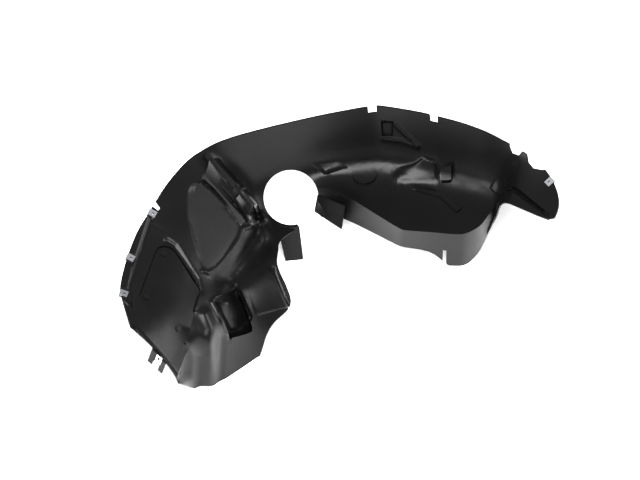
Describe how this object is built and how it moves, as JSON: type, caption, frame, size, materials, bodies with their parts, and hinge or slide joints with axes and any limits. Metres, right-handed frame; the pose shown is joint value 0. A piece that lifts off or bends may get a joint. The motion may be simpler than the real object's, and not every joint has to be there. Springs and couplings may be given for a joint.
{
  "type": "splash shield",
  "caption": "Moulded wheel arch liner with a flared front panel, access cover, strut hole, skirted rear panel and spring nuts along its lip.",
  "frame": {"origin": "on the ground under the middle of the part's box, as it lies on its engine side", "axes": "+X from the front end to the rear end, +Y to the top of the arch, +Z from the engine side out to the lip"},
  "size_m": [0.9168, 0.4694, 0.2533],
  "materials": {
    "moulded_plastic": "satin",
    "cover_plastic": "satin",
    "rivet_plastic": "satin",
    "clip_steel": "bright zinc"
  },
  "bodies": {
    "root": {"shield_body": "moulded_plastic", "access_cover": "cover_plastic", "cover_rivets": "rivet_plastic", "lip_clips": "clip_steel"}
  },
  "joints": []
}
